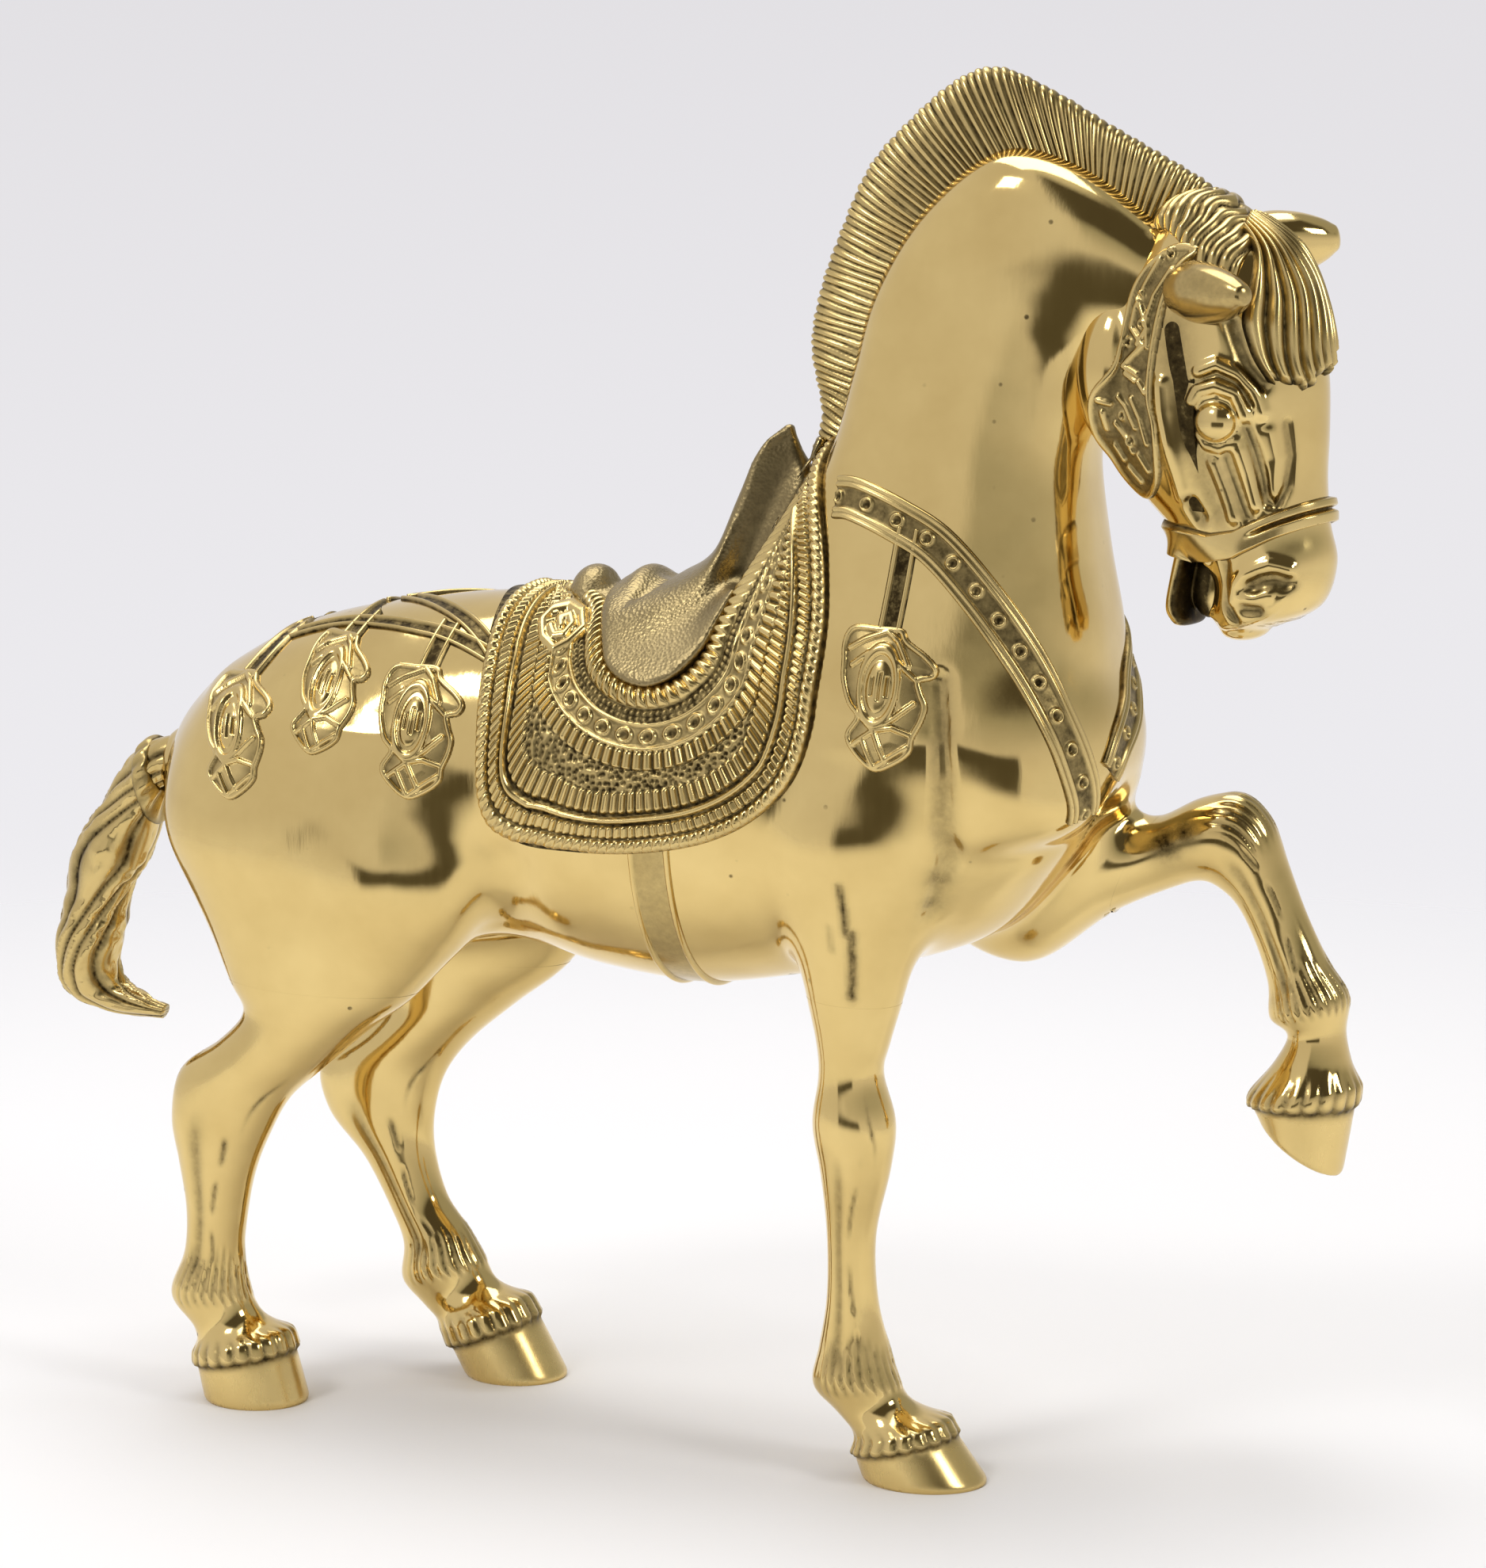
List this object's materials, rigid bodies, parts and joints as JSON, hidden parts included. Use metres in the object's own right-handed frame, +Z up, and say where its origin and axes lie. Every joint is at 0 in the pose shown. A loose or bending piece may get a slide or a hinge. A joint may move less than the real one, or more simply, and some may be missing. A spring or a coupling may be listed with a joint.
{
  "type": "brass horse figure",
  "caption": "Hollow cast brass horse standing with one raised foreleg, wearing a saddle, a decorated cloth and harness; a free-standing ornament.",
  "frame": {"origin": "on the floor under the middle of the figure's bounding box", "axes": "+X the way the horse faces, +Y to its left side, +Z up"},
  "size_m": [0.3263, 0.0834, 0.324],
  "materials": {
    "polished_brass": "polished",
    "worked_brass": "chased, dark in the recesses",
    "satin_brass": "grained satin"
  },
  "bodies": {
    "root": {"body_right_half": "polished_brass", "body_left_half": "polished_brass", "head": "polished_brass", "right_ear": "polished_brass", "left_ear": "polished_brass", "mane": "worked_brass", "forelock": "worked_brass", "right_fore_leg": "polished_brass", "left_fore_leg": "polished_brass", "right_hind_leg": "polished_brass", "left_hind_leg": "polished_brass", "tail": "worked_brass", "dock_band": "worked_brass", "saddle_cloth": "worked_brass", "saddle": "satin_brass", "girth": "polished_brass", "breast_collar": "worked_brass", "shoulder_tassel_right": "worked_brass", "shoulder_tassel_left": "worked_brass", "crupper_straps": "worked_brass", "rump_tassel_front_right": "worked_brass", "rump_tassel_middle_right": "worked_brass", "rump_tassel_rear_right": "worked_brass", "rump_tassel_front_left": "worked_brass", "rump_tassel_middle_left": "worked_brass", "rump_tassel_rear_left": "worked_brass", "noseband": "worked_brass", "cheekpiece_right": "worked_brass", "cheekpiece_left": "worked_brass"}
  },
  "joints": []
}
